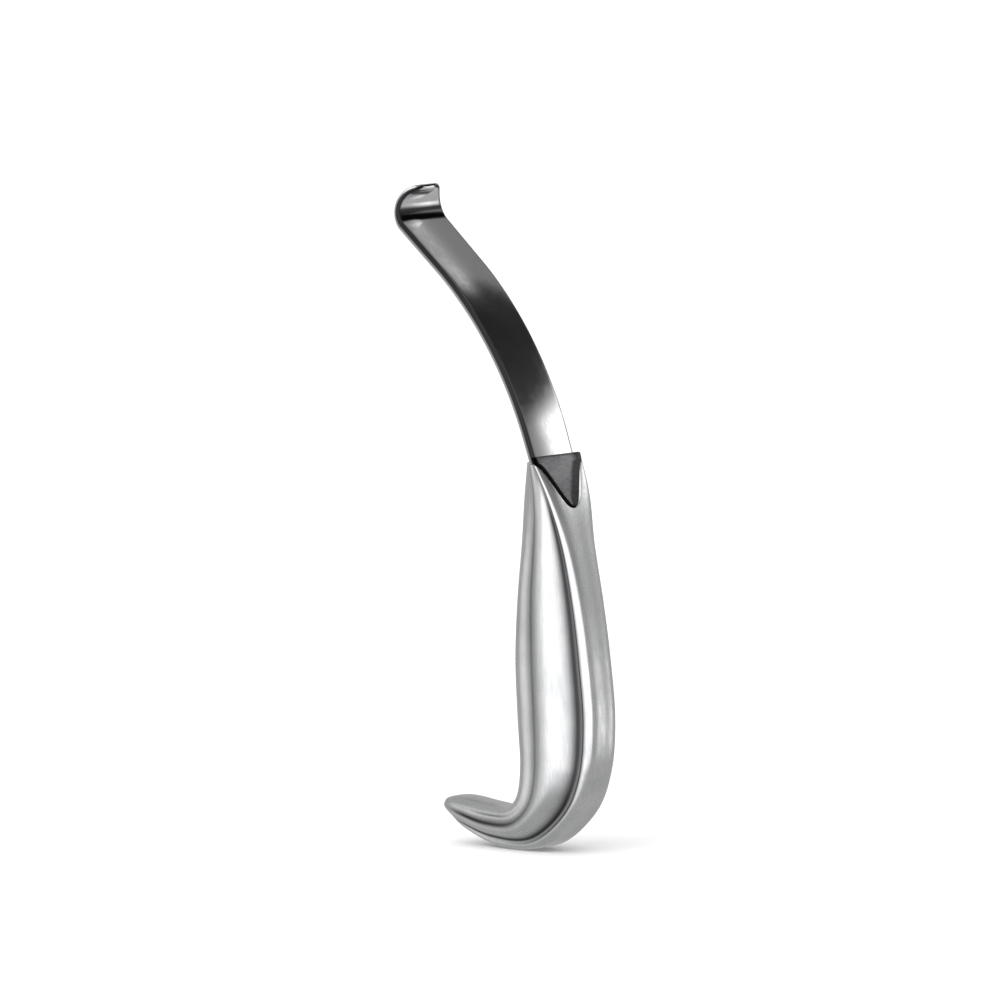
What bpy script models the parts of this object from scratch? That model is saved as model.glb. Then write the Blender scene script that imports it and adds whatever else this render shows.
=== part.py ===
"""Hook-handled dental elevator, drawn in millimetres round its neck and placed in metres.

Pieces: a bent strip blade with a curled lip and a hidden tang, a solid neck block that
the tang is brazed into, two pressed half shells that make the fluted hollow handle with
its finger hook, the weld that joins the halves, and the braze round the tang.
Design frame: Z runs up the handle, X points to the outside of the hook's bend, and the
XZ plane is the plane of symmetry. The neck block's top is at Z = 0.
"""

import bpy
import numpy as np

MM = 0.001
FIT_GAP = 0.3                    # clearance between touching pieces

# Blade: a straight root, an arc, a straight run and a lip curled back towards +X
BLADE_ROOT_X = -1.9              # outside face of the blade at the neck's top
BLADE_TILT = np.radians(19.5)    # lean of the root from the handle's axis
BLADE_END_TILT = np.radians(52.0)
ROOT_LENGTH = 4.0
ARC_RADIUS = 84.0
RUN_LENGTH = 14.2
LIP_RADIUS = 4.0                 # inside of the curl
LIP_SWEEP = np.radians(112.0)
LIP_LENGTH = 1.3
BLADE_HALF_WIDTH_ROOT = 6.2
BLADE_HALF_WIDTH_TIP = 7.1
BLADE_THICKNESS = 2.1
LIP_THICKNESS = 1.4
LIP_CORNER = 9.5                 # how far the lip's rounded corners reach back
LIP_NARROWING = 5.6              # and how much they take off each side at the end
TANG_DEPTH = 9.0
TANG_HALF_WIDTH = 3.0
TANG_X = (-3.6, -2.5)            # the tang stands upright inside the block
BRAZE_FILM = 0.2

# Neck block
COLLAR_HEIGHT = 1.5              # the block stands this far above the shells, behind the blade
SPIGOT_DEPTH = 13.5
FLAT_TOP_X = -1.0                # the block's inclined flat, at the neck's top
FLAT_SLOPE = 0.43                # outwards travel of the flat for each millimetre down
FLAT_STEP = 0.12                 # the flat lies this far inside the collar's face
BOSS_SIDES = 7                   # facets of a half section that lie on the boss's flat
BOSS_LEVELS = 12
WINDOW_FOOT = 11.6               # depth of the arched window in the shells, at the back

ROOT_Z = FIT_GAP - COLLAR_HEIGHT  # the blade's root stands on the spigot, before the collar

# Handle
WALL = 1.0
SEAM_HALF = 0.6                  # each half shell stops this far from the middle plane
WELD_HALF = SEAM_HALF - FIT_GAP
TONGUE_START = 10.3              # station where the hook's end starts to round off
TIP_STATION = 11.96              # the shells stop just short of the last station
SIDES = 27                       # facets round a half section
RINGS = 44                       # rings along the handle
TIP_RINGS = 8                    # of which this many lie in the rounded end
WINDOW_CORNER = 7 / 9            # share of the half turn where the window's edge begins
WINDOW_SETTLE = 3.0              # station below which the rings are level again
CUT_RISE = 1.0                   # how far a cutting form runs past the neck's top

# One row a station, from the neck to the hook's tip: inner edge x, z; outer edge x, z;
# then half widths of the inner lobe, inner flute, middle rib, outer flute, outer lobe
STATIONS = np.array([
    (-8.0, 0.0, -1.0, 0.0, 3.9, 5.2, 6.2, 6.9, 7.3),
    (-9.6, -9.5, 3.4, -9.5, 4.3, 4.8, 6.2, 5.7, 6.1),
    (-11.3, -20.0, 6.3, -20.0, 4.1, 4.2, 6.1, 4.3, 4.7),
    (-13.6, -33.0, 9.1, -33.0, 4.1, 4.1, 6.7, 3.8, 4.4),
    (-15.0, -46.0, 10.9, -46.0, 4.2, 4.1, 7.1, 3.8, 4.4),
    (-15.0, -59.0, 11.7, -59.0, 4.2, 4.1, 7.3, 3.8, 4.4),
    (-14.6, -70.0, 9.9, -70.5, 4.2, 4.1, 7.2, 3.9, 4.4),
    (-16.0, -77.0, 4.6, -80.0, 4.2, 4.1, 6.9, 4.0, 4.4),
    (-19.5, -79.6, -7.0, -87.9, 4.3, 4.2, 6.5, 4.1, 4.4),
    (-26.0, -79.4, -20.0, -88.9, 4.5, 4.4, 6.1, 4.3, 4.4),
    (-33.0, -78.7, -30.5, -86.1, 4.5, 4.9, 5.8, 4.6, 4.4),
    (-37.5, -78.7, -36.2, -82.7, 4.4, 5.0, 5.5, 4.8, 4.3),
    (-39.5, -79.4, -39.1, -80.6, 4.4, 5.0, 5.5, 4.8, 4.3),
])
# Where each of those widths lies between the inner edge (0) and the outer edge (1)
DEPTHS_AT_NECK = (0.25, 0.48, 0.66, 0.84, 0.95)
DEPTHS_IN_HANDLE = (0.13, 0.27, 0.50, 0.84, 0.93)
DEPTHS_IN_HOOK = (0.16, 0.32, 0.52, 0.76, 0.90)

# The part stands with the middle of its box over the origin and its foot at Z = 0
CENTRE_X = -16.74
FOOT_Z = -89.13

STEEL_POLISHED = ((0.62, 0.62, 0.63), 0.18)
STEEL_SATIN = ((0.56, 0.56, 0.57), 0.36)
STEEL_DARK = ((0.20, 0.20, 0.21), 0.42)
STEEL_BEAD = ((0.50, 0.50, 0.50), 0.45)
BRAZE_SILVER = ((0.66, 0.61, 0.50), 0.35)


def clear_scene():
    for item in list(bpy.data.objects):
        bpy.data.objects.remove(item, do_unlink=True)


def steel(name, finish):
    """A metal with the given base colour and roughness."""
    colour, roughness = finish
    material = bpy.data.materials.new(name)
    material.use_nodes = True
    shader = material.node_tree.nodes["Principled BSDF"]
    shader.inputs["Base Color"].default_value = (*colour, 1.0)
    shader.inputs["Metallic"].default_value = 1.0
    shader.inputs["Roughness"].default_value = roughness
    return material


def add_piece(name, points, faces, material=None):
    """An object from points in design millimetres, placed in the part's own frame."""
    placed = (np.asarray(points, float) - (CENTRE_X, 0.0, FOOT_Z)) * MM
    mesh = bpy.data.meshes.new(name)
    mesh.from_pydata(placed.tolist(), [], faces)
    mesh.update()
    item = bpy.data.objects.new(name, mesh)
    bpy.context.collection.objects.link(item)
    if material:
        mesh.materials.append(material)
    return item


def tube_faces(rings, sides):
    """Quads of a tube of closed rings, with a flat cap on each end."""
    faces = []
    for ring in range(rings - 1):
        for side in range(sides):
            after = (side + 1) % sides
            low, high = ring * sides, (ring + 1) * sides
            faces.append((low + side, low + after, high + after, high + side))
    faces.append(tuple(range(sides))[::-1])
    faces.append(tuple(range((rings - 1) * sides, rings * sides)))
    return faces


def loft(name, rings, material=None):
    """A closed body through an array of rings, shape (rings, sides, 3), faces turned out."""
    count, sides, _ = rings.shape
    points = rings.reshape(-1, 3)
    faces = tube_faces(count, sides)
    if signed_volume(points, faces) < 0:
        faces = [face[::-1] for face in faces]
    return add_piece(name, points, faces, material)


def signed_volume(points, faces):
    """Six times the volume that the faces enclose, positive when they face outwards."""
    total = 0.0
    for face in faces:
        first = points[face[0]]
        for second, third in zip(face[1:-1], face[2:]):
            total += np.dot(first, np.cross(points[second], points[third]))
    return total


def smooth_curve(knots, at):
    """Catmull-Rom curve through the knots, at parameters counted in knots."""
    knots = np.asarray(knots, float)
    before = 2 * knots[0] - knots[1]
    after = 2 * knots[-1] - knots[-2]
    padded = np.vstack([before, knots, after])
    at = np.clip(at, 0, len(knots) - 1)
    index = np.minimum(at.astype(int), len(knots) - 2)
    return hermite(*(padded[index + step] for step in range(4)), at - index)


def hermite(p0, p1, p2, p3, t):
    """The Catmull-Rom span between the second and third of four knots, t from 0 to 1."""
    t = t[:, None]
    pull_in = (p2 - p0) / 2
    pull_out = (p3 - p1) / 2
    rise = 3 * (p2 - p1) - 2 * pull_in - pull_out
    settle = 2 * (p1 - p2) + pull_in + pull_out
    return p1 + pull_in * t + rise * t**2 + settle * t**3


def blend(low, high, amount):
    """Smooth step from one tuple of values to another, amount running 0 to 1."""
    amount = np.clip(amount, 0, 1)[:, None]
    eased = amount * amount * (3 - 2 * amount)
    return np.asarray(low) * (1 - eased) + np.asarray(high) * eased


def tongue_taper(station):
    """Quarter-ellipse narrowing of the hook's end: 1 until it starts, 0 at the tip."""
    last = len(STATIONS) - 1
    reach = np.clip((station - TONGUE_START) / (last - TONGUE_START), 0, 1)
    return np.sqrt(1 - reach**2)


def section_knots(stations, inset):
    """Knots (depth share, half width) of each half section, and its two edge points."""
    rows = smooth_curve(STATIONS, stations)
    inner, outer = rows[:, 0:2], rows[:, 2:4]
    reach = np.linalg.norm(outer - inner, axis=1, keepdims=True)
    inward = np.minimum(inset, 0.4 * reach) * (outer - inner) / reach
    taper = tongue_taper(stations)[:, None]
    widths = rows[:, 4:9] * taper - np.minimum(inset, 2.0 * taper)
    depths = blend(DEPTHS_AT_NECK, DEPTHS_IN_HANDLE, stations / 3)
    in_hook = np.clip((stations - 6) / 3, 0, 1)[:, None]
    depths = depths * (1 - in_hook) + np.asarray(DEPTHS_IN_HOOK) * in_hook
    nothing, whole = np.zeros(len(stations)), np.ones(len(stations))
    lobe_in, flute_in, rib, flute_out, lobe_out = widths.T
    at_lobe_in, at_flute_in, at_rib, at_flute_out, at_lobe_out = depths.T
    shares = [nothing, 0.03 * whole, at_lobe_in, at_flute_in, at_rib - 0.07,
              at_rib + 0.09, at_flute_out, at_lobe_out, 0.995 * whole, whole]
    halves = [nothing, 0.62 * lobe_in, lobe_in, flute_in, rib,
              rib, flute_out, lobe_out, 0.72 * lobe_out, nothing]
    knots = np.stack([np.stack(shares, 1), np.stack(halves, 1)], 2)
    return knots, inner + inward, outer - inward


def handle_surface(stations, turns, inset=0.0):
    """Points on the handle, drawn in by an inset.

    stations count along the handle; turns run 0 to 1 round the -Y half section, from
    the middle of the inner edge to the middle of the outer one. Both are grids of one
    shape. Each section is a Catmull-Rom curve through its knots, mirrored past both
    edges so that the halves meet without a crease.
    """
    knots, inner, outer = section_knots(stations.ravel(), inset)
    mirror = np.array([1, -1])
    padded = np.concatenate([knots[:, 1:2] * mirror, knots, knots[:, -2:-1] * mirror], axis=1)
    spans = knots.shape[1] - 1
    along = np.clip(turns.ravel(), 0, 1) * spans
    index = np.minimum(along.astype(int), spans - 1)
    row = np.arange(len(index))
    outline = hermite(*(padded[row, index + step] for step in range(4)), along - index)
    across = outer - inner
    points = np.empty((len(row), 3))
    points[:, 0] = inner[:, 0] + across[:, 0] * outline[:, 0]
    points[:, 1] = -np.maximum(outline[:, 1], 0.0)
    points[:, 2] = inner[:, 1] + across[:, 1] * outline[:, 0]
    return points.reshape(stations.shape + (3,))


def cut(item, tool):
    """Take the tool's shape out of the item, and drop the tool."""
    modifier = item.modifiers.new(tool.name, "BOOLEAN")
    modifier.operation = "DIFFERENCE"
    modifier.solver = "EXACT"
    modifier.object = tool
    bpy.context.view_layer.update()
    graph = bpy.context.evaluated_depsgraph_get()
    result = bpy.data.meshes.new_from_object(item.evaluated_get(graph))
    item.modifiers.clear()
    item.data = result
    bpy.data.objects.remove(tool, do_unlink=True)


def smooth(item, angle):
    item.data.shade_smooth()
    item.data.set_sharp_from_angle(angle=np.radians(angle))


def station_at_depth(depth):
    """Station whose section lies this far below the neck's top, in the straight handle."""
    levels = -STATIONS[:7, 1]
    return np.interp(depth, levels, np.arange(7))


def station_spacing():
    """Ring positions along the handle, closer together round the hook's end."""
    body = np.linspace(0, TONGUE_START, RINGS - TIP_RINGS, endpoint=False)
    turn = np.linspace(0, np.pi / 2, TIP_RINGS + 1)
    tip = TONGUE_START + (TIP_STATION - TONGUE_START) * np.sin(turn)
    return np.concatenate([body, tip])


def window_depth(turns):
    """Depth of the shells' upper edge: level at the sides, then dipping round the window."""
    rim = COLLAR_HEIGHT + FIT_GAP
    middle = np.full(len(turns) + 1, station_at_depth(WINDOW_FOOT / 2))
    width = -handle_surface(middle, np.append(turns, WINDOW_CORNER))[:, 1]
    share = np.where(turns > WINDOW_CORNER, np.clip(width[:-1] / width[-1], 0, 1), 1)
    return rim + (WINDOW_FOOT - rim) * (1 - share**2.5) ** 1.8


def shell_grid(inset):
    """Grid of one half shell's skin: its top edge dips into the window at the back."""
    turns = np.linspace(0, 1, SIDES + 1)
    top = station_at_depth(window_depth(turns))
    plan = station_spacing()
    lift = np.clip(1 - plan / WINDOW_SETTLE, 0, 1)[:, None]
    stations = plan[:, None] + top[None, :] * lift
    grid = handle_surface(stations, np.broadcast_to(turns, stations.shape), inset)
    grid[..., 1] = np.minimum(grid[..., 1], -SEAM_HALF)
    return grid


def handle_shell(name, side, material):
    """One pressed half: a C-shaped section carried from the neck to the hook's tip."""
    outside, inside = shell_grid(0.0), shell_grid(WALL)
    rings = np.concatenate([outside, inside[:, ::-1]], axis=1)
    shell = loft(name, rings * (1, -side, 1), material)
    smooth(shell, 40)
    return shell


def level_half(depth, inset, turns):
    """Half of a level section through the neck."""
    return handle_surface(np.full(len(turns), station_at_depth(depth)), turns, inset)


def level_ring(half, depth):
    """The whole section: the half and its mirror image, made level."""
    ring = np.concatenate([half, half[-2:0:-1] * (1, -1, 1)])
    ring[:, 2] = -depth
    return ring


def collar_ring(depth):
    """The block above the shells: the neck's section from the blade's back outwards."""
    half = level_half(depth, 0.0, np.linspace(0, 1, SIDES + 1))
    behind = BLADE_ROOT_X + depth * np.tan(BLADE_TILT) + FIT_GAP / np.cos(BLADE_TILT)
    last = np.flatnonzero(half[:, 0] < behind)[-1]
    width = np.interp(behind, half[last:last + 2, 0], half[last:last + 2, 1])
    half[:last + 1, 0] = behind
    half[:last + 1, 1] = width * np.linspace(0, 1, last + 1)
    half[:, 0] = np.minimum(half[:, 0], FLAT_TOP_X + FLAT_SLOPE * depth)
    return level_ring(half, depth)


def boss_ring(depth):
    """The spigot with the boss that fills the shells' window, and its section's turns."""
    edge_turns = np.linspace(0, 1, SIDES + 1)[round(WINDOW_CORNER * SIDES):]
    edge_depth = window_depth(edge_turns)
    edge = handle_surface(station_at_depth(edge_depth), edge_turns, WALL)
    width = np.interp(depth, edge_depth, -edge[:, 1]) - FIT_GAP
    turns = spigot_turns(np.interp(depth, edge_depth, edge_turns))
    half = level_half(depth, WALL + FIT_GAP, turns)
    flat = slice(SIDES - BOSS_SIDES, None)
    half[flat, 0] = FLAT_TOP_X + FLAT_SLOPE * depth - FLAT_STEP
    half[flat, 1] = -np.linspace(width, 0, BOSS_SIDES + 1)
    return level_ring(half, depth), turns


def spigot_turns(corner):
    """Turns of a half section's points, one of them at the boss's corner."""
    beside = np.linspace(0, corner, SIDES - BOSS_SIDES)
    beyond = np.linspace(corner, 1, BOSS_SIDES + 2)
    return np.concatenate([beside, beyond[1:]])


def spigot_ring(depth, turns):
    """The plain spigot below the window, its points in line with the boss's."""
    return level_ring(level_half(depth, WALL + FIT_GAP, turns), depth)


def neck_block(material):
    """Collar behind the blade, boss in the window and spigot, slotted for the tang."""
    boss_foot = WINDOW_FOOT - 3 * FIT_GAP
    rings = [collar_ring(0.0), collar_ring(COLLAR_HEIGHT)]
    for depth in np.linspace(COLLAR_HEIGHT, boss_foot, BOSS_LEVELS):
        ring, turns = boss_ring(depth)
        rings.append(ring)
    rings += [spigot_ring(boss_foot + FIT_GAP, turns), spigot_ring(SPIGOT_DEPTH, turns)]
    body = loft("neck_block", np.array(rings), material)
    slot = 2 * FIT_GAP + BRAZE_FILM
    cut(body, tang_box("slot", slot, CUT_RISE))
    smooth(body, 30)
    return body


def blade_path(length):
    """Point on the blade's outer face and its lean, at lengths measured from the neck."""
    arc = ARC_RADIUS * (BLADE_END_TILT - BLADE_TILT)
    curl = LIP_RADIUS * LIP_SWEEP
    in_arc = np.clip(length - ROOT_LENGTH, 0, arc)
    in_run = np.clip(length - ROOT_LENGTH - arc, 0, RUN_LENGTH)
    in_curl = np.clip(length - ROOT_LENGTH - arc - RUN_LENGTH, 0, curl)
    in_lip = np.maximum(length - ROOT_LENGTH - arc - RUN_LENGTH - curl, 0)
    in_root = np.minimum(length, ROOT_LENGTH)
    lean = BLADE_TILT + in_arc / ARC_RADIUS
    x = BLADE_ROOT_X - in_root * np.sin(BLADE_TILT)
    z = in_root * np.cos(BLADE_TILT)
    x += ARC_RADIUS * (np.cos(lean) - np.cos(BLADE_TILT))
    z += ARC_RADIUS * (np.sin(lean) - np.sin(BLADE_TILT))
    x -= in_run * np.sin(BLADE_END_TILT)
    z += in_run * np.cos(BLADE_END_TILT)
    turned = BLADE_END_TILT - in_curl / LIP_RADIUS
    x += LIP_RADIUS * (np.cos(BLADE_END_TILT) - np.cos(turned))
    z += LIP_RADIUS * (np.sin(BLADE_END_TILT) - np.sin(turned))
    x -= in_lip * np.sin(turned)
    z += in_lip * np.cos(turned)
    return x, z, np.where(in_curl > 0, turned, lean)


def blade_length():
    arc = ARC_RADIUS * (BLADE_END_TILT - BLADE_TILT)
    return ROOT_LENGTH + arc + RUN_LENGTH + LIP_RADIUS * LIP_SWEEP + LIP_LENGTH


def rounded_section():
    """A superellipse with rounded ends, as shares across and through the strip."""
    turn = np.linspace(0, 2 * np.pi, 24, endpoint=False) + np.pi / 24
    across = np.sign(np.cos(turn)) * np.abs(np.cos(turn)) ** 0.22
    through = np.sign(np.sin(turn)) * np.abs(np.sin(turn)) ** 0.5
    return across, through


def strip_rings(lengths, half_widths, thicknesses):
    """Rounded sections square to the blade's path, the first one levelled at the root."""
    across, through = rounded_section()
    rings = []
    for length, half, thick in zip(lengths, half_widths, thicknesses):
        depth = thick * (1 - through) / 2
        level = np.tan(BLADE_TILT) if length < ROOT_LENGTH / 2 else 0.0
        x, z, lean = blade_path(length + depth * level)
        ring = np.stack([x - depth * np.cos(lean), half * across, z - depth * np.sin(lean)], 1)
        rings.append(ring)
    return np.array(rings)


def blade(material):
    """Tang, shoulder, bent strip and curled lip in one piece."""
    total = blade_length()
    curl_start = total - LIP_LENGTH - LIP_RADIUS * LIP_SWEEP
    strip = np.concatenate([
        [ROOT_Z / np.cos(BLADE_TILT)], np.linspace(ROOT_LENGTH, curl_start, 22),
        np.linspace(curl_start, total - LIP_LENGTH, 16)[1:],
        total - LIP_LENGTH * np.cos(np.linspace(0, np.pi / 2, 6))[1:],
    ])
    widen = np.clip(strip / curl_start, 0, 1)
    half = BLADE_HALF_WIDTH_ROOT + (BLADE_HALF_WIDTH_TIP - BLADE_HALF_WIDTH_ROOT) * widen
    left_over = np.clip((total - strip) / LIP_CORNER, 0, 1)
    half -= LIP_NARROWING * (1 - np.sqrt(1 - (1 - left_over) ** 2))
    thin = np.clip((strip - curl_start) / (total - curl_start), 0, 1)
    thick = BLADE_THICKNESS + (LIP_THICKNESS - BLADE_THICKNESS) * thin
    tang = np.array([tang_ring(-TANG_DEPTH, 0.0), tang_ring(ROOT_Z, 0.0)])
    return loft("blade", np.concatenate([tang, strip_rings(strip, half, thick)]), material)


def tang_ring(level, grow):
    """A level section of the upright tang, grown all round."""
    across, through = rounded_section()
    middle, thick = np.mean(TANG_X), TANG_X[1] - TANG_X[0]
    x = middle + (thick / 2 + grow) * through
    y = (TANG_HALF_WIDTH + grow) * across
    return np.stack([x, y, np.full_like(x, level)], 1)


def tang_box(name, grow, rise, material=None):
    """The tang's form grown all round and carried up past its top."""
    ends = [tang_ring(-TANG_DEPTH - grow, grow), tang_ring(rise, grow)]
    return loft(name, np.array(ends), material)


def tang_braze(material):
    """Cup of silver braze between the tang and its slot, open at the top."""
    cup = tang_box("tang_braze", FIT_GAP + BRAZE_FILM, ROOT_Z - 2 * FIT_GAP, material)
    cut(cup, tang_box("tang_room", FIT_GAP, CUT_RISE))
    return cup


def seam_weld(material):
    """Bead in the joint between the halves: down the inner edge, round the tip, back up."""
    last = len(STATIONS) - 1
    top_inner = station_at_depth(COLLAR_HEIGHT + 2 * FIT_GAP)
    top_outer = station_at_depth(WINDOW_FOOT + FIT_GAP)
    down = np.concatenate([np.linspace(top_inner, TONGUE_START, 40),
                           np.linspace(TONGUE_START, last, 9)[1:]])
    up = down[down > top_outer][::-1]
    rings = []
    for stations, edge in ((down, 0), (up, 2)):
        rows = smooth_curve(STATIONS, stations)
        outer, middle = rows[:, edge:edge + 2], (rows[:, 0:2] + rows[:, 2:4]) / 2
        reach = np.linalg.norm(middle - outer, axis=1)
        share = np.minimum(WALL / reach, 0.7)[:, None]
        inner = outer + (middle - outer) * share
        for (ox, oz), (ix, iz) in zip(outer, inner):
            rings.append([(ox, -WELD_HALF, oz), (ox, WELD_HALF, oz),
                          (ix, WELD_HALF, iz), (ix, -WELD_HALF, iz)])
    return loft("seam_weld", np.array(rings), material)


def main():
    clear_scene()
    polished = steel("polished_steel", STEEL_POLISHED)
    satin = steel("satin_steel", STEEL_SATIN)
    smooth(blade(polished), 35)
    neck_block(steel("ground_steel", STEEL_DARK))
    handle_shell("handle_shell_left", -1, satin)
    handle_shell("handle_shell_right", 1, satin)
    smooth(seam_weld(steel("weld_bead", STEEL_BEAD)), 40)
    tang_braze(steel("silver_braze", BRAZE_SILVER))


main()
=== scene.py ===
"""Looks of a hook-handled dental elevator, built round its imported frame.

The pieces are surfaces worked out in design millimetres: Z runs up the handle, X points to
the outside of the hook's bend, the XZ plane is the plane of symmetry and the neck's top is
at Z = 0. placed() moves them to the frame's own place and to metres.
"""

import bpy
import numpy as np
from mathutils import Matrix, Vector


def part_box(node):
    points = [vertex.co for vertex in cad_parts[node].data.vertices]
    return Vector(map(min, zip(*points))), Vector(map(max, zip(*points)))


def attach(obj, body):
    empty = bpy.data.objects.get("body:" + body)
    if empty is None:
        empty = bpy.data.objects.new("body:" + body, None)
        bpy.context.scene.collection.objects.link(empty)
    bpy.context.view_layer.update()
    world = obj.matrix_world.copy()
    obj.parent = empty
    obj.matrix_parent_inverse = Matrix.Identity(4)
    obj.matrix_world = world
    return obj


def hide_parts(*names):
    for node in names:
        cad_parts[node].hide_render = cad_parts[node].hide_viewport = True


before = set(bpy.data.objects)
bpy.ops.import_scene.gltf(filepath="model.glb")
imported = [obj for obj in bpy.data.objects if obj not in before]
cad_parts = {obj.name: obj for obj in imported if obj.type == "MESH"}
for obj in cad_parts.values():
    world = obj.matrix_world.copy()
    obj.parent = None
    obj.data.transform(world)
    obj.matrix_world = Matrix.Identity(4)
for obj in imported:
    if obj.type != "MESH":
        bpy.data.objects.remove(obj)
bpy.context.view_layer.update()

MM = 0.001

# ---------------------------------------------------------------- sizes, in millimetres

# One row a station, from the neck to the hook's tip: inner edge x, z; outer edge x, z;
# then half widths of the inner lobe, inner flute, middle rib, outer flute, outer lobe
STATIONS = np.array([
    (-8.0, 0.0, -1.0, 0.0, 3.9, 5.2, 6.2, 6.9, 7.3),
    (-9.6, -9.5, 3.4, -9.5, 4.3, 4.8, 6.2, 5.7, 6.1),
    (-11.3, -20.0, 6.3, -20.0, 4.1, 4.2, 6.1, 4.3, 4.7),
    (-13.6, -33.0, 9.1, -33.0, 4.1, 4.1, 6.7, 3.8, 4.4),
    (-15.0, -46.0, 10.9, -46.0, 4.2, 4.1, 7.1, 3.8, 4.4),
    (-15.0, -59.0, 11.7, -59.0, 4.2, 4.1, 7.3, 3.8, 4.4),
    (-14.6, -70.0, 9.9, -70.5, 4.2, 4.1, 7.2, 3.9, 4.4),
    (-16.0, -77.0, 4.6, -80.0, 4.2, 4.1, 6.9, 4.0, 4.4),
    (-19.5, -79.6, -7.0, -87.9, 4.3, 4.2, 6.5, 4.1, 4.4),
    (-26.0, -79.4, -20.0, -88.9, 4.5, 4.4, 6.1, 4.3, 4.4),
    (-33.0, -78.7, -30.5, -86.1, 4.5, 4.9, 5.8, 4.6, 4.4),
    (-37.5, -78.7, -36.2, -82.7, 4.4, 5.0, 5.5, 4.8, 4.3),
    (-39.5, -79.4, -39.1, -80.6, 4.4, 5.0, 5.5, 4.8, 4.3),
])
LAST = len(STATIONS) - 1
# Where each of those widths lies between the inner edge (0) and the outer edge (1)
DEPTHS_AT_NECK = (0.25, 0.48, 0.66, 0.84, 0.95)
DEPTHS_IN_HANDLE = (0.13, 0.27, 0.50, 0.84, 0.93)
DEPTHS_IN_HOOK = (0.16, 0.32, 0.52, 0.76, 0.90)

BELLY_X = 11.77                  # the handle's outermost x, used to place the pieces
WALL = 1.0
TONGUE_START = 10.3              # station where the hook's end starts to round off
TIP_STATION = 11.995             # the skin stops just short of the last station
SEAM_TURN = 0.02                 # share of the half turn that the weld covers
COLLAR_HEIGHT = 1.5
RIM_GAP = 0.15                   # shadow line between the collar and the shells
RIM_ROUND = 0.3                  # the shells' cut edge is broken by this radius
COLLAR_ROUND = 0.3               # and the collar's top edge by this one
SPIGOT_GAP = 0.05                # between the spigot and the shells' inner skin
WINDOW_FOOT = 11.6               # depth of the shells' arched window, at its middle
WINDOW_CORNER = 7.0 / 9          # turn of the lobe where the window's edge begins
WINDOW_SETTLE = 3.0              # station below which the shells' rows are level again
SPIGOT_DEPTH = 13.5
BOSS_FOOT = WINDOW_FOOT - 0.5    # depth of the boss's lower end
FLAT_SHARE = 0.3                 # share of the block's half section that lies on its flat
NEAR_SHADE, NEAR_FADE = 1.5, 0.5  # width of the painted shade along the flat's -Y edge
FAR_SHADE, FAR_FADE = 3.2, 1.4   # and of the paler painted shade along its other edge
BOSS_GAP = 0.3                   # dark joint between the boss and the window's edge
BLADE_GAP = 0.06                 # shadow line between the blade's back and the collar
FLAT_TOP_X = -1.0                # the inclined flat, at the neck's top
FLAT_SLOPE = 0.43                # its travel outwards for each millimetre down

# The blade's outer face: a straight root, an arc, a straight run, a curl and a short end
BLADE_ROOT_X = -1.9
BLADE_TILT = np.radians(19.5)    # lean of the root from the handle's axis
BLADE_END_TILT = np.radians(52.0)
ROOT_LENGTH = 4.0
ARC_RADIUS = 84.0
RUN_LENGTH = 14.2
LIP_RADIUS = 4.0
LIP_SWEEP = np.radians(112.0)
LIP_LENGTH = 1.3
HALF_WIDTH_ROOT = 6.2
HALF_WIDTH_TIP = 7.1
THICKNESS = 2.1
LIP_THICKNESS = 1.4
LIP_CORNER = 9.5                 # how far back along the lip its rounded corners reach
LIP_NARROWING = 5.6              # and how much they take off each side at the end
ROOT_FOOT = 1.45                 # the blade's root stands this far below the neck's top
CROWN = 0.28                     # how far the blade's outer face bulges across its width
OUTER_ROUND = 0.75               # radius of the blade's two outer corners
INNER_ROUND = 0.45               # and of its two inner ones
ROUND_SHARE = 0.42               # the most of the thickness that a corner's radius takes
LIP_ROUND = 0.7                  # length over which the lip's end closes to its round edge
EDGE_BAND, EDGE_FADE = 0.85, 0.4  # painted dark reflection along the blade's corners, and its soft side
CREASE = (-0.2, 4.2)             # ends of the dark reflection painted in the crease, along the blade from the curl's start

# Rows of points: round the handle's cut rim, along it, round its end, and across a half
RIM_ROWS, BODY_ROWS, END_ROWS, HALF_COLUMNS = 8, 312, 60, 84
RIM_STATIONS = 0.03              # stretch of stations that the rim's rows take
RUN_ROWS, CURL_ROWS, TIP_ROWS = 260, 90, 60  # rings up the blade, round its curl, at its end
SHARP_ANGLE = 38                 # degrees; edges sharper than this stay crisp

# Painted shade in the flutes: where it lies round the half turn and how wide it is
INNER_GROOVE, INNER_SPREAD = 3.75 / 9, 0.36 / 9
OUTER_GROOVE, OUTER_SPREAD = 5.95 / 9, 0.3 / 9

# ---------------------------------------------------------------- surface working


def hermite(p0, p1, p2, p3, t):
    """Catmull-Rom span between p1 and p2: the cubic with tangents (p2-p0)/2 and (p3-p1)/2."""
    t = t[:, None]
    pull_in, pull_out = (p2 - p0) / 2, (p3 - p1) / 2
    rise = 3 * (p2 - p1) - 2 * pull_in - pull_out
    settle = 2 * (p1 - p2) + pull_in + pull_out
    return p1 + pull_in * t + rise * t**2 + settle * t**3


def smooth_curve(knots, at):
    """Catmull-Rom curve through the knots, read at parameters counted in knots."""
    padded = np.vstack([2 * knots[0] - knots[1], knots, 2 * knots[-1] - knots[-2]])
    at = np.clip(at, 0, len(knots) - 1)
    index = np.minimum(at.astype(int), len(knots) - 2)
    return hermite(*(padded[index + step] for step in range(4)), at - index)


def ease(amount):
    """Smooth step 3a^2 - 2a^3 of an amount clipped to 0..1."""
    amount = np.clip(amount, 0, 1)
    return amount * amount * (3 - 2 * amount)


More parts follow.
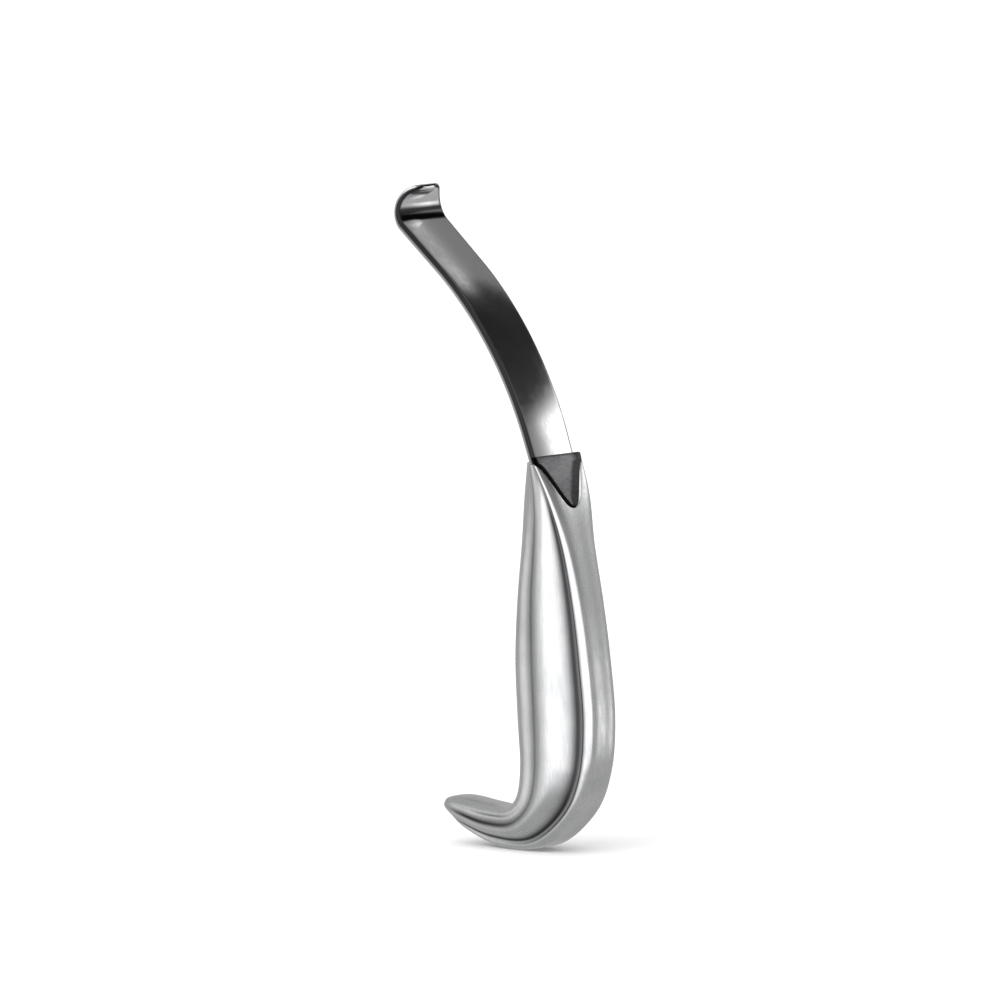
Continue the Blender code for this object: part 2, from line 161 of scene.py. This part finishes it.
def section_knots(stations, inset):
    """Knots (depth share, half width) of each half section, and its two edge points.

    Depth shares blend from the neck's set to the handle's and then to the hook's, and the
    widths shrink by a quarter ellipse sqrt(1 - r^2) over the hook's rounded end.
    """
    rows = smooth_curve(STATIONS, stations)
    inner, outer = rows[:, 0:2], rows[:, 2:4]
    reach = np.linalg.norm(outer - inner, axis=1, keepdims=True)
    inward = np.minimum(inset, 0.4 * reach) * (outer - inner) / reach
    into_end = np.clip((stations - TONGUE_START) / (LAST - TONGUE_START), 0, 1)
    taper = np.sqrt(1 - into_end**2)[:, None]
    widths = rows[:, 4:9] * taper - np.minimum(inset, 2.0 * taper)
    in_handle = ease(stations / 3)[:, None]
    in_hook = np.clip((stations - 6) / 3, 0, 1)[:, None]
    depths = np.array(DEPTHS_AT_NECK) * (1 - in_handle) + np.array(DEPTHS_IN_HANDLE) * in_handle
    depths = depths * (1 - in_hook) + np.array(DEPTHS_IN_HOOK) * in_hook
    none, whole = np.zeros(len(stations)), np.ones(len(stations))
    lobe_in, flute_in, rib, flute_out, lobe_out = widths.T
    at_lobe_in, at_flute_in, at_rib, at_flute_out, at_lobe_out = depths.T
    shares = [none, 0.03 * whole, at_lobe_in, at_flute_in, at_rib - 0.07,
              at_rib + 0.09, at_flute_out, at_lobe_out, 0.995 * whole, whole]
    halves = [none, 0.62 * lobe_in, lobe_in, flute_in, rib,
              rib, flute_out, lobe_out, 0.72 * lobe_out, none]
    knots = np.stack([np.stack(shares, 1), np.stack(halves, 1)], 2)
    return knots, inner + inward, outer - inward


def handle_surface(stations, turns, inset=0.0):
    """Points on the handle's -Y half.

    stations count along the handle; turns run 0 to 1 from the middle of the inner edge to
    the middle of the outer one. A section is the Catmull-Rom curve through its knots,
    mirrored past both edges so that the two halves meet without a crease.
    """
    inset = np.broadcast_to(inset, stations.shape).ravel()[:, None]
    knots, inner, outer = section_knots(stations.ravel(), inset)
    padded = np.concatenate([knots[:, 1:2] * (1, -1), knots, knots[:, -2:-1] * (1, -1)], axis=1)
    spans = knots.shape[1] - 1
    along = np.clip(turns.ravel(), 0, 1) * spans
    index = np.minimum(along.astype(int), spans - 1)
    row = np.arange(len(index))
    outline = hermite(*(padded[row, index + step] for step in range(4)), along - index)
    across = outer - inner
    points = np.empty((len(row), 3))
    points[:, 0] = inner[:, 0] + across[:, 0] * outline[:, 0]
    points[:, 1] = -np.maximum(outline[:, 1], 0.0)
    points[:, 2] = inner[:, 1] + across[:, 1] * outline[:, 0]
    return points.reshape(stations.shape + (3,))


def station_at_depth(depth):
    """Station whose section lies this far below the neck's top, in the straight handle."""
    return np.interp(depth, -STATIONS[:7, 1], np.arange(7))


def blade_path(length):
    """Point on the blade's outer face and its lean, at lengths measured from the neck.

    A straight root, an arc of one radius, a straight run, the lip's tight curl and the
    lip's straight end; each adds its own chord to the one before.
    """
    arc = ARC_RADIUS * (BLADE_END_TILT - BLADE_TILT)
    curl = LIP_RADIUS * LIP_SWEEP
    in_root = np.minimum(length, ROOT_LENGTH)
    in_arc = np.clip(length - ROOT_LENGTH, 0, arc)
    in_run = np.clip(length - ROOT_LENGTH - arc, 0, RUN_LENGTH)
    in_curl = np.clip(length - ROOT_LENGTH - arc - RUN_LENGTH, 0, curl)
    in_lip = np.maximum(length - ROOT_LENGTH - arc - RUN_LENGTH - curl, 0)
    lean = BLADE_TILT + in_arc / ARC_RADIUS
    turned = BLADE_END_TILT - in_curl / LIP_RADIUS
    x = BLADE_ROOT_X - in_root * np.sin(BLADE_TILT)
    z = in_root * np.cos(BLADE_TILT)
    x = x + ARC_RADIUS * (np.cos(lean) - np.cos(BLADE_TILT)) - in_run * np.sin(BLADE_END_TILT)
    z = z + ARC_RADIUS * (np.sin(lean) - np.sin(BLADE_TILT)) + in_run * np.cos(BLADE_END_TILT)
    x = x + LIP_RADIUS * (np.cos(BLADE_END_TILT) - np.cos(turned)) - in_lip * np.sin(turned)
    z = z + LIP_RADIUS * (np.sin(BLADE_END_TILT) - np.sin(turned)) + in_lip * np.cos(turned)
    return x, z, np.where(in_curl > 0, turned, lean)


# ---------------------------------------------------------------- meshes


def placed(points):
    """Design millimetres to the frame's metres: the neck's top and the handle's belly are
    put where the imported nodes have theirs."""
    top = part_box("neck_block")[1].z
    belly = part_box("handle_shell_left")[1].x
    return points * MM + np.array([belly - BELLY_X * MM, 0.0, top])


def grid_faces(rows, columns, wrap):
    """Quads of a grid of points, closed round its columns when wrap is set."""
    row = np.arange(rows - 1)[:, None]
    column = np.arange(columns if wrap else columns - 1)[None, :]
    after = (column + 1) % columns
    low, high = row * columns, (row + 1) * columns
    corners = [low + column, low + after, high + after, high + column]
    return np.stack(np.broadcast_arrays(*corners), axis=2).reshape(-1, 4)


def enclosed(points, quads):
    """Six times the volume inside the quads, positive when they face outwards."""
    a, b, c, d = (points[quads[:, corner]] for corner in range(4))
    return np.sum(np.cross(b - a, c - a) * a) + np.sum(np.cross(c - a, d - a) * a)


def new_piece(name, points, quads, material, nodes, marks=None):
    """A smooth-shaded mesh from points and quads that rides on the root body."""
    if enclosed(points, quads) < 0:
        quads = quads[:, ::-1]
    mesh = bpy.data.meshes.new(name)
    mesh.from_pydata(placed(points).tolist(), [], quads.tolist())
    for title, values in (marks or {}).items():
        mark = mesh.attributes.new(title, "FLOAT", "POINT")
        mark.data.foreach_set("value", np.asarray(values, np.float32).ravel())
    mesh.materials.append(material)
    mesh.shade_smooth()
    mesh.set_sharp_from_angle(angle=np.radians(SHARP_ANGLE))
    item = bpy.data.objects.new(name, mesh)
    bpy.context.scene.collection.objects.link(item)
    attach(item, "root")
    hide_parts(*nodes)
    return item


def closed_sheet(outside, inside):
    """Points and quads of the body between two grids of one shape, rims included."""
    rows, columns, _ = outside.shape
    points = np.concatenate([outside.reshape(-1, 3), inside.reshape(-1, 3)])
    skin = grid_faces(rows, columns, False)
    offset = rows * columns
    ids = np.arange(offset).reshape(rows, columns)
    rim = np.concatenate([ids[0], ids[1:, -1], ids[-1, -2::-1], ids[-2:0:-1, 0]])
    after = np.roll(rim, -1)
    walls = np.stack([after, rim, rim + offset, after + offset], axis=1)
    return points, np.concatenate([skin, skin[:, ::-1] + offset, walls])


def closed_tube(rings):
    """Points and quads of a tube of closed rings. Each end is closed by a fold: the ring's
    first half is joined point by point to its second half."""
    count, sides, _ = rings.shape
    quads = grid_faces(count, sides, True)
    near = np.arange(sides // 2 - 1)
    fold = np.stack([near, near + 1, sides - 2 - near, sides - 1 - near], axis=1)
    tail = (count - 1) * sides
    return rings.reshape(-1, 3), np.concatenate([quads, fold[:, ::-1], fold + tail])


# ---------------------------------------------------------------- the pieces' forms


def window_depth(turns):
    """Depth of the shells' upper edge: level at the sides, then dipping round the window
    as (1 - y^2.5)^1.8, where y is the half width left as a share of the lobe's."""
    rim = COLLAR_HEIGHT + RIM_GAP
    middle = np.full(len(turns) + 1, station_at_depth(WINDOW_FOOT / 2))
    width = -handle_surface(middle, np.append(turns, WINDOW_CORNER))[:, 1]
    share = np.where(turns > WINDOW_CORNER, np.clip(width[:-1] / width[-1], 0, 1), 1)
    return rim + (WINDOW_FOOT - rim) * (1 - share**2.5)**1.8


def shell_stations(turns):
    """Stations of a half shell's grid: level rings below, lifting near the neck to meet
    the window's edge. Rows crowd together at the rim and towards the hook's end."""
    top = station_at_depth(window_depth(turns))
    at_rim = np.linspace(0, RIM_STATIONS, RIM_ROWS, endpoint=False)
    in_body = np.linspace(RIM_STATIONS, TONGUE_START, BODY_ROWS, endpoint=False)
    round_end = np.sin(np.linspace(0, np.pi / 2, END_ROWS))
    in_end = TONGUE_START + (TIP_STATION - TONGUE_START) * round_end
    plan = np.concatenate([at_rim, in_body, in_end])
    lift = np.clip(1 - plan / WINDOW_SETTLE, 0, 1)[:, None]
    return plan[:, None] + top[None, :] * lift


def rim_inset(shape):
    """Quarter-round on the cut edge: inset r (1 - sqrt(1 - (1 - s)^2)), s running from 0 at
    the rim to 1 where its rows end."""
    down = np.clip(np.arange(shape[0]) / RIM_ROWS, 0, 1)[:, None]
    return np.broadcast_to(RIM_ROUND * (1 - np.sqrt(1 - (1 - down)**2)), shape)


def groove_painted_shade(stations, turns):
    """How much shade is painted in the two flutes: a bell e^-((t - t0)/w)^2 across each.

    The inner one starts at the neck, the outer one from station 0.3, and both have faded
    by station 11, at the hook's end.
    """
    inner = np.exp(-((turns - INNER_GROOVE) / INNER_SPREAD)**2) * ease(stations / 0.5)
    outer = np.exp(-((turns - OUTER_GROOVE) / OUTER_SPREAD)**2) * ease((stations - 0.3) / 1.2)
    return np.maximum(inner, outer) * (1 - ease((stations - 9.6) / 1.4))


def handle_half(side):
    """Outer skin and inner skin, one wall apart, over the turns that the weld leaves."""
    spread = np.linspace(SEAM_TURN, 1 - SEAM_TURN, HALF_COLUMNS)
    stations = shell_stations(spread)
    across = np.broadcast_to(spread, stations.shape)
    mirror = np.array([1, -side, 1])
    outside = handle_surface(stations, across, rim_inset(stations.shape)) * mirror
    inside = handle_surface(stations, across, WALL) * mirror
    # painted shade, dark in the two flutes
    mark = groove_painted_shade(stations, across)
    return outside, inside, np.concatenate([mark.ravel(), 0 * mark.ravel()])


def weld_strip(edge, columns=7):
    """Bead that closes the joint: the handle's surface over turns -s..s of its inner edge
    (0) or its outer edge (1)."""
    signed = np.linspace(-SEAM_TURN, SEAM_TURN, columns)
    near = np.abs(signed) if edge == 0 else 1 - np.abs(signed)
    stations = shell_stations(near)
    across = np.broadcast_to(near, stations.shape)
    mirror = np.ones((columns, 3))
    mirror[:, 1] = np.where(signed < 0, -1, 1)
    outside = handle_surface(stations, across, rim_inset(stations.shape)) * mirror
    inside = handle_surface(stations, across, WALL) * mirror
    points, quads = closed_sheet(outside, inside)
    return points, quads if enclosed(points, quads) > 0 else quads[:, ::-1]


def collar_half(depth, inset, turns):
    """The handle's own level section, cut off behind the blade and by the inclined flat."""
    half = handle_surface(np.full(len(turns), station_at_depth(depth)), turns, inset)
    behind = BLADE_ROOT_X + depth * np.tan(BLADE_TILT) + BLADE_GAP
    last = np.flatnonzero(half[:, 0] < behind)[-1]
    width = np.interp(behind, half[last:last + 2, 0], half[last:last + 2, 1])
    half[:last + 1, 0] = behind
    half[:last + 1, 1] = width * np.linspace(0, 1, last + 1)
    half[:, 0] = np.minimum(half[:, 0], FLAT_TOP_X + FLAT_SLOPE * depth)
    return half


def neck_rings(turns=90, edge_points=80, boss_rings=60):
    """Level rings of the neck block, from the top down, and how much shade is painted on each
    point.

    The collar has a rounded top edge. Below it the spigot fills the shells, and a boss with
    the inclined flat stands up in the window, its half width the window's own less a gap.
    The painted shade fades with the distance, bare, from the sides in towards the flat's middle;
    below the boss it is measured from the boss's last width, out of sight.
    """
    edge = np.linspace(WINDOW_CORNER, 1, edge_points)
    edge_depth = window_depth(edge)
    edge_width = -handle_surface(station_at_depth(edge_depth), edge)[:, 1]
    beside_boss = edge_depth < BOSS_FOOT
    on_flat = round(FLAT_SHARE * turns)
    flat = slice(turns - on_flat, None)
    depths, halves, bare = [], [], []

    bend = np.linspace(0, np.pi / 2, 7)
    collar_depths = np.append(COLLAR_ROUND * (1 - np.cos(bend)), COLLAR_HEIGHT)
    collar_insets = np.append(COLLAR_ROUND * (1 - np.sin(bend)), 0.0)
    for depth, inset in zip(collar_depths, collar_insets):
        half = collar_half(depth, inset, np.linspace(0, 1, turns + 1))
        depths.append(depth)
        halves.append(half)
        bare.append(half[:, 1] - half[:, 1].min())

    boss_depths = np.linspace(COLLAR_HEIGHT, BOSS_FOOT, boss_rings)
    spigot_depths = np.linspace(BOSS_FOOT + 0.01, SPIGOT_DEPTH, 8)
    for depth in np.concatenate([boss_depths, spigot_depths]):
        corner = np.interp(depth, edge_depth[beside_boss], edge[beside_boss])
        around = np.concatenate([np.linspace(0, corner, turns - on_flat),
                                 np.linspace(corner, 1, on_flat + 2)[1:]])
        level = np.full(turns + 1, station_at_depth(depth))
        half = handle_surface(level, around, WALL + SPIGOT_GAP)
        if depth <= BOSS_FOOT:
            width = np.interp(depth, edge_depth, edge_width) - BOSS_GAP
            half[flat, 0] = FLAT_TOP_X + FLAT_SLOPE * depth
            half[flat, 1] = -np.linspace(width, 0, on_flat + 1)
        depths.append(depth)
        halves.append(half)
        bare.append(np.maximum(half[:, 1] + width, 0))

    rings = np.array([np.concatenate([half, half[-2:0:-1] * (1, -1, 1)]) for half in halves])
    rings[:, :, 2] = -np.array(depths)[:, None]
    bare = np.array(bare)
    # painted shade along the flat's edges, in the joints with the window's edges
    near = ease((NEAR_SHADE - bare) / NEAR_FADE)
    far = 0.75 * ease((FAR_SHADE - bare) / FAR_FADE)
    return rings, np.concatenate([near, far[:, -2:0:-1]], axis=1)


def blade_section(half, thick, face_points=30, arc_points=8):
    """A strip's section for each pair of half width and thickness: across and depth.

    Two flat faces, quarter circles on the four corners, starting at the middle of the +Y
    side. The outer face sinks by CROWN (y / half)^2 towards its edges.
    """
    outer_r = np.minimum(OUTER_ROUND, ROUND_SHARE * thick)[:, None]
    inner_r = np.minimum(INNER_ROUND, ROUND_SHARE * thick)[:, None]
    half, thick = half[:, None], thick[:, None]
    arc = np.linspace(0, np.pi / 2, arc_points)[None, :]
    line = np.linspace(1, -1, face_points + 2)[None, 1:-1]
    outer_y = np.concatenate([half - outer_r + outer_r * np.cos(arc), line * (half - outer_r),
                              -(half - outer_r + outer_r * np.cos(arc[:, ::-1]))], 1)
    outer_d = np.concatenate([outer_r * (1 - np.sin(arc)), 0 * line * half,
                              outer_r * (1 - np.sin(arc[:, ::-1]))], 1)
    inner_y = np.concatenate([half - inner_r + inner_r * np.cos(arc), line * (half - inner_r),
                              -(half - inner_r + inner_r * np.cos(arc[:, ::-1]))], 1)
    inner_d = thick - np.concatenate([inner_r * (1 - np.sin(arc)), 0 * line * half,
                                      inner_r * (1 - np.sin(arc[:, ::-1]))], 1)
    across = np.concatenate([outer_y, inner_y[:, ::-1]], 1)
    depth = np.concatenate([outer_d, inner_d[:, ::-1]], 1)
    depth = depth + CROWN * (across / half)**2 * (1 - depth / thick)
    return across, depth


def blade_painted_reflection(past_side, through, into_curl):
    """How much dark reflection is painted on the blade: on the outer corners and in the crease
    under the lip.

    past_side is how far a point lies past the blade's side (less than 0 inside it), through
    is its depth as a share of the thickness, and into_curl its length past the curl's start.
    """
    corner = ease((past_side + EDGE_BAND) / EDGE_FADE) * ease((0.75 - through) / 0.25)
    start, end = CREASE
    crease = ease((into_curl - start) / 1.2) * ease(end - into_curl)
    return np.maximum(corner, 0.94 * crease * ease((0.5 - through) / 0.2))


def blade_rings():
    """Sections square to the blade's path, from the neck to the lip's rounded end, and how
    much dark reflection is painted on each point.

    Towards the lip's end the half width loses a quarter circle, n (1 - sqrt(1 - (1 - s)^2)),
    and the thickness closes to an edge as sqrt(1 - (1 - s)^2).
    """
    curl_start = ROOT_LENGTH + ARC_RADIUS * (BLADE_END_TILT - BLADE_TILT) + RUN_LENGTH
    total = curl_start + LIP_RADIUS * LIP_SWEEP + LIP_LENGTH
    foot = -ROOT_FOOT / np.cos(BLADE_TILT)
    into_tip = np.cos(np.linspace(0, np.pi / 2 - 0.05, TIP_ROWS))
    length = np.concatenate([np.linspace(foot, curl_start, RUN_ROWS, endpoint=False),
                             np.linspace(curl_start, total - LIP_LENGTH, CURL_ROWS, endpoint=False),
                             total - LIP_LENGTH * into_tip])
    widen = np.clip(length / curl_start, 0, 1)
    half = HALF_WIDTH_ROOT + (HALF_WIDTH_TIP - HALF_WIDTH_ROOT) * widen
    left_over = np.clip((total - length) / LIP_CORNER, 0, 1)
    half = half - LIP_NARROWING * (1 - np.sqrt(1 - (1 - left_over)**2))
    thin = np.clip((length - curl_start) / (total - curl_start), 0, 1)
    thick = THICKNESS + (LIP_THICKNESS - THICKNESS) * thin
    across, depth = blade_section(half, thick)
    nearly = np.clip((total - length) / LIP_ROUND, 0.02, 1)
    close = np.sqrt(1 - (1 - nearly)**2)[:, None]
    depth = thick[:, None] / 2 + (depth - thick[:, None] / 2) * close
    into_root = np.clip((ROOT_LENGTH - length) / (ROOT_LENGTH - foot), 0, 1)[:, None]
    level = into_root * np.tan(BLADE_TILT)
    x, z, lean = blade_path(length[:, None] + depth * level)
    lean = np.where(length[:, None] < ROOT_LENGTH, BLADE_TILT, lean)
    rings = np.stack([x - depth * np.cos(lean), across, z - depth * np.sin(lean)], 2)
    past_side = np.abs(across) - half[:, None]
    # painted dark reflection on the blade's outer corners and in the crease under the lip
    painted_dark = blade_painted_reflection(past_side, depth / thick[:, None], (length - curl_start)[:, None])
    return rings, painted_dark


# ---------------------------------------------------------------- materials


def linear(hex_colour):
    """sRGB hex to linear RGBA: c/12.92 below 0.04045, else ((c + 0.055)/1.055)^2.4."""
    values = [int(hex_colour[i:i + 2], 16) / 255 for i in (0, 2, 4)]
    return tuple(c / 12.92 if c <= 0.04045 else ((c + 0.055) / 1.055)**2.4 for c in values) + (1.0,)


def add(tree, kind, links=None, **settings):
    """A node of that kind with its properties and input values set and its inputs linked."""
    node = tree.nodes.new(kind)
    inputs = settings.pop("inputs", {})
    for key, value in settings.items():
        setattr(node, key, value)
    for key, value in inputs.items():
        node.inputs[key].default_value = value
    for key, source in (links or {}).items():
        tree.links.new(source, node.inputs[key])
    return node


def metal(name, colour, worn_colour, roughness, worn_roughness, stretch, grain_mm, depth_mm,
          mark=None):
    """A metal whose colour and roughness drift with soft clouds and with a fine grain that
    is stretched along the way it was ground.

    stretch scales the grain's x, y and z, so a small number draws it out that way; depth_mm
    is the grain's height. mark names a mesh attribute and the dark colour that paints shade and
    dark reflections where it is 1.
    """
    material = bpy.data.materials.new(name)
    material.use_nodes = True
    tree = material.node_tree
    tree.nodes.clear()
    out = add(tree, "ShaderNodeOutputMaterial")
    where = add(tree, "ShaderNodeTexCoord").outputs["Object"]
    along = add(tree, "ShaderNodeMapping", {"Vector": where}, inputs={"Scale": stretch})
    grain = add(tree, "ShaderNodeTexNoise", {"Vector": along.outputs[0]},
                inputs={"Scale": 1 / (grain_mm * MM), "Detail": 4.0, "Roughness": 0.6})
    clouds = add(tree, "ShaderNodeTexNoise", {"Vector": where},
                 inputs={"Scale": 1 / (9 * MM), "Detail": 3.0, "Roughness": 0.55})
    mixed = add(tree, "ShaderNodeMath", {0: grain.outputs["Fac"], 1: clouds.outputs["Fac"]},
                operation="ADD")
    spread = add(tree, "ShaderNodeMapRange", {"Value": mixed.outputs[0]},
                 inputs={"From Min": 0.75, "From Max": 1.25})
    worn = spread.outputs[0]
    tint = add(tree, "ShaderNodeMix", {"Factor": worn}, data_type="RGBA")
    tint.inputs[6].default_value = linear(colour)
    tint.inputs[7].default_value = linear(worn_colour)
    if mark:
        # painted shade and dark reflections: the mark's dark colour is mixed over the metal's own
        title, painted_dark = mark
        marked = add(tree, "ShaderNodeAttribute", attribute_name=title)
        tint = add(tree, "ShaderNodeMix", {"Factor": marked.outputs["Fac"], 6: tint.outputs[2]},
                   data_type="RGBA")
        tint.inputs[7].default_value = linear(painted_dark)
    rough = add(tree, "ShaderNodeMapRange", {"Value": worn},
                inputs={"To Min": roughness, "To Max": worn_roughness})
    bump = add(tree, "ShaderNodeBump", {"Height": grain.outputs["Fac"]},
               inputs={"Strength": 0.25, "Distance": depth_mm * MM})
    shader = add(tree, "ShaderNodeBsdfPrincipled",
                 {"Base Color": tint.outputs[2], "Roughness": rough.outputs[0],
                  "Normal": bump.outputs[0]},
                 inputs={"Metallic": 1.0})
    tree.links.new(shader.outputs[0], out.inputs[0])
    return material


# Stainless steel, mirror polished after forging: bright, with faint lines along the blade; its edge
# mark paints dark reflections on the outer corners and in the crease under the lip
polished = metal("polished_stainless", "DADADB", "CFCFD0", 0.13, 0.20, (0.35, 1.0, 0.35), 0.5,
                 0.004, ("edge", "2A2A2C"))
# Stainless sheet, satin finished on a belt: soft highlights drawn out along the handle; its groove
# mark paints shade dark in the flutes
satin = metal("satin_stainless", "D2D2D3", "BFC0C1", 0.22, 0.30, (1.0, 1.0, 0.08), 0.4,
              0.006, ("groove", "303032"))
# Stainless, ground: its darker grey is painted dark reflection of the inclined flat, and the black
# along the flat's edges is painted shade in the joints with the window
ground = metal("dark_reflection_stainless", "98989A", "78787A", 0.34, 0.45, (1.0, 0.3, 1.0), 0.4,
               0.008, ("joint_shade", "0E0E0E"))
# Silver brazing alloy as it set: warm, a little pale and not ground
braze_metal = metal("silver_braze_alloy", "D9CFB4", "C4B795", 0.30, 0.42, (1.0, 1.0, 1.0), 0.6,
                    0.01)

# ---------------------------------------------------------------- the object

for name, side in (("left", -1), ("right", 1)):
    outside, inside, mark = handle_half(side)
    points, quads = closed_sheet(outside, inside)
    # the shells carry their painted flute shade in the groove attribute
    new_piece("handle_half_" + name, points, quads, satin, ["handle_shell_" + name],
              {"groove": mark})

inner_points, inner_quads = weld_strip(0)
outer_points, outer_quads = weld_strip(1)
new_piece("ground_weld", np.concatenate([inner_points, outer_points]),
          np.concatenate([inner_quads, outer_quads + len(inner_points)]), satin,
          ["seam_weld"])

# the neck carries its painted shade, black along the inclined flat's edges
rings, joint_shade = neck_rings()
points, quads = closed_tube(rings)
new_piece("neck_body", points, quads, ground, ["neck_block"], {"joint_shade": joint_shade})
# the blade carries its painted dark reflection in the edge attribute
rings, edge = blade_rings()
points, quads = closed_tube(rings)
new_piece("blade_strip", points, quads, polished, ["blade"], {"edge": edge})
hidden_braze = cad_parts["tang_braze"]
hidden_braze.data.materials.clear()
hidden_braze.data.materials.append(braze_metal)

# ---------------------------------------------------------------- floor, light and camera

bpy.context.scene.view_settings.view_transform = "Standard"


def floor_material():
    """Matt white board."""
    material = bpy.data.materials.new("matt_white_board")
    material.use_nodes = True
    shader = material.node_tree.nodes["Principled BSDF"]
    shader.inputs["Base Color"].default_value = linear("F4F4F4")
    shader.inputs["Roughness"].default_value = 0.9
    return material


FLOOR_REACH = 60.0               # metres each way, so that its rim is never in sight
FLOOR_DROP = 0.0001              # metres below the object's foot
floor_corners = [(-1, -1, 0), (1, -1, 0), (1, 1, 0), (-1, 1, 0)]
floor_mesh = bpy.data.meshes.new("floor")
floor_mesh.from_pydata((np.array(floor_corners) * FLOOR_REACH).tolist(), [], [(0, 1, 2, 3)])
floor_mesh.materials.append(floor_material())
floor = bpy.data.objects.new("floor", floor_mesh)
floor.location.z = -FLOOR_DROP
bpy.context.scene.collection.objects.link(floor)
floor.visible_glossy = False


def soft_band(tree, value, low, high, soft):
    """1 where the value lies between low and high, falling to 0 over soft on each side."""
    rise = add(tree, "ShaderNodeMapRange", {"Value": value}, interpolation_type="SMOOTHSTEP",
               inputs={"From Min": low - soft, "From Max": low + soft})
    fall = add(tree, "ShaderNodeMapRange", {"Value": value}, interpolation_type="SMOOTHSTEP",
               inputs={"From Min": high - soft, "From Max": high + soft,
                       "To Min": 1.0, "To Max": 0.0})
    return add(tree, "ShaderNodeMath", {0: rise.outputs[0], 1: fall.outputs[0]},
               operation="MULTIPLY").outputs[0]


def studio(base, panels):
    """World light: an even grey, with soft-edged panels laid over it in turn.

    A panel is (middle azimuth, half width, its softness, low elevation, high elevation,
    their softness, brightness), in degrees. Azimuth runs anticlockwise from +X. The camera
    sees plain white.
    """
    world = bpy.data.worlds.new("studio")
    bpy.context.scene.world = world
    world.use_nodes = True
    tree = world.node_tree
    tree.nodes.clear()
    direction = add(tree, "ShaderNodeTexCoord").outputs["Generated"]
    axes = add(tree, "ShaderNodeSeparateXYZ", {"Vector": direction})
    height = add(tree, "ShaderNodeMath", {0: axes.outputs["Z"]}, operation="ARCSINE")
    light = add(tree, "ShaderNodeValue").outputs[0]
    light.default_value = base
    for panel in panels:
        azimuth, half, side_soft, low, high, rise_soft, glow = (*np.radians(panel[:6]), panel[6])
        facing = add(tree, "ShaderNodeVectorMath", {0: direction}, operation="DOT_PRODUCT")
        facing.inputs[1].default_value = (np.cos(azimuth), np.sin(azimuth), 0)
        side = add(tree, "ShaderNodeVectorMath", {0: direction}, operation="DOT_PRODUCT")
        side.inputs[1].default_value = (-np.sin(azimuth), np.cos(azimuth), 0)
        turn = add(tree, "ShaderNodeMath", {0: side.outputs["Value"], 1: facing.outputs["Value"]},
                   operation="ARCTAN2")
        wide = soft_band(tree, turn.outputs[0], -half, half, side_soft)
        tall = soft_band(tree, height.outputs[0], low, high, rise_soft)
        share = add(tree, "ShaderNodeMath", {0: wide, 1: tall}, operation="MULTIPLY")
        mixed = add(tree, "ShaderNodeMix", {"Factor": share.outputs[0], "A": light},
                    data_type="FLOAT")
        mixed.inputs["B"].default_value = glow
        light = mixed.outputs[0]
    ray = add(tree, "ShaderNodeLightPath")
    lit = add(tree, "ShaderNodeBackground", {"Strength": light})
    white = add(tree, "ShaderNodeBackground", inputs={"Strength": 1.0})
    for sheet in (lit, white):
        sheet.inputs["Color"].default_value = (1, 1, 1, 1)
    pick = add(tree, "ShaderNodeMixShader", {0: ray.outputs["Is Camera Ray"], 1: lit.outputs[0],
                                             2: white.outputs[0]})
    add(tree, "ShaderNodeOutputWorld", {"Surface": pick.outputs[0]})


studio(0.55, [
    (-85, 45, 26, -26, 62, 8, 1.15),      # large softbox before the object
    (-62, 42, 9, -24, 62, 8, 1.9),        # and its bright middle
    (20, 24, 3, 14, 60, 3, 0.30),         # grey flag beside the blade's root
    (62, 17, 3, 17, 26.5, 2, 2.3),        # low strip light behind, for the blade's root
    (62, 28, 3, 29, 62, 2.5, 0.02),       # black flag over it, for the blade's middle
    (118, 28, 4, 34, 75, 3, 0.26),        # grey wall beyond it, for the blade's tip
    (100, 20, 4, 50.5, 54, 1.5, 0.80),    # thin strip light, for the streak on the tip
    (46, 5, 3, -20, 2, 4, 1.7),           # small low lamp that shows in the lip
])

sun = bpy.data.lights.new("overhead diffuser", "SUN")
sun.energy = 2.0
sun.angle = np.radians(120)
sun_lamp = bpy.data.objects.new("overhead diffuser", sun)
bpy.context.scene.collection.objects.link(sun_lamp)
sun_lamp.visible_glossy = False


VIEW_AZIMUTH, VIEW_ELEVATION, VIEW_ROLL = 48.0, 6.0, 2.0  # degrees; azimuth 0 looks along +Y
VIEW_WIDTH = 222.2               # millimetres across the frame at the object
VIEW_DISTANCE = 3.2              # metres: a long lens, so that sizes stay true with depth
NECK_RIGHT, NECK_UP = 13.33, 10.0  # millimetres from the middle of the frame to the neck's top


def product_camera(azimuth, elevation, roll, width, distance):
    """Camera at that azimuth, elevation and roll, in degrees, whose frame is width metres
    across at the object's own distance."""
    a, e, r = np.radians([azimuth, elevation, roll])
    back = np.array([np.sin(a) * np.cos(e), -np.cos(a) * np.cos(e), np.sin(e)])
    right = np.array([np.cos(a), np.sin(a), 0.0])
    up = np.array([-np.sin(a) * np.sin(e), np.cos(a) * np.sin(e), np.cos(e)])
    across = right * np.cos(r) - up * np.sin(r)
    upward = right * np.sin(r) + up * np.cos(r)
    middle = placed(np.zeros(3)) - (NECK_RIGHT * across + NECK_UP * upward) * MM
    camera = bpy.data.cameras.new("camera")
    camera.lens = camera.sensor_width * distance / width
    camera.clip_start, camera.clip_end = 0.05, 200.0
    item = bpy.data.objects.new("camera", camera)
    axes = np.eye(4)
    axes[:3] = np.column_stack([across, upward, back, middle + back * distance])
    item.matrix_world = Matrix(axes.tolist())
    bpy.context.scene.collection.objects.link(item)
    bpy.context.scene.camera = item


product_camera(VIEW_AZIMUTH, VIEW_ELEVATION, VIEW_ROLL, VIEW_WIDTH * MM, VIEW_DISTANCE)
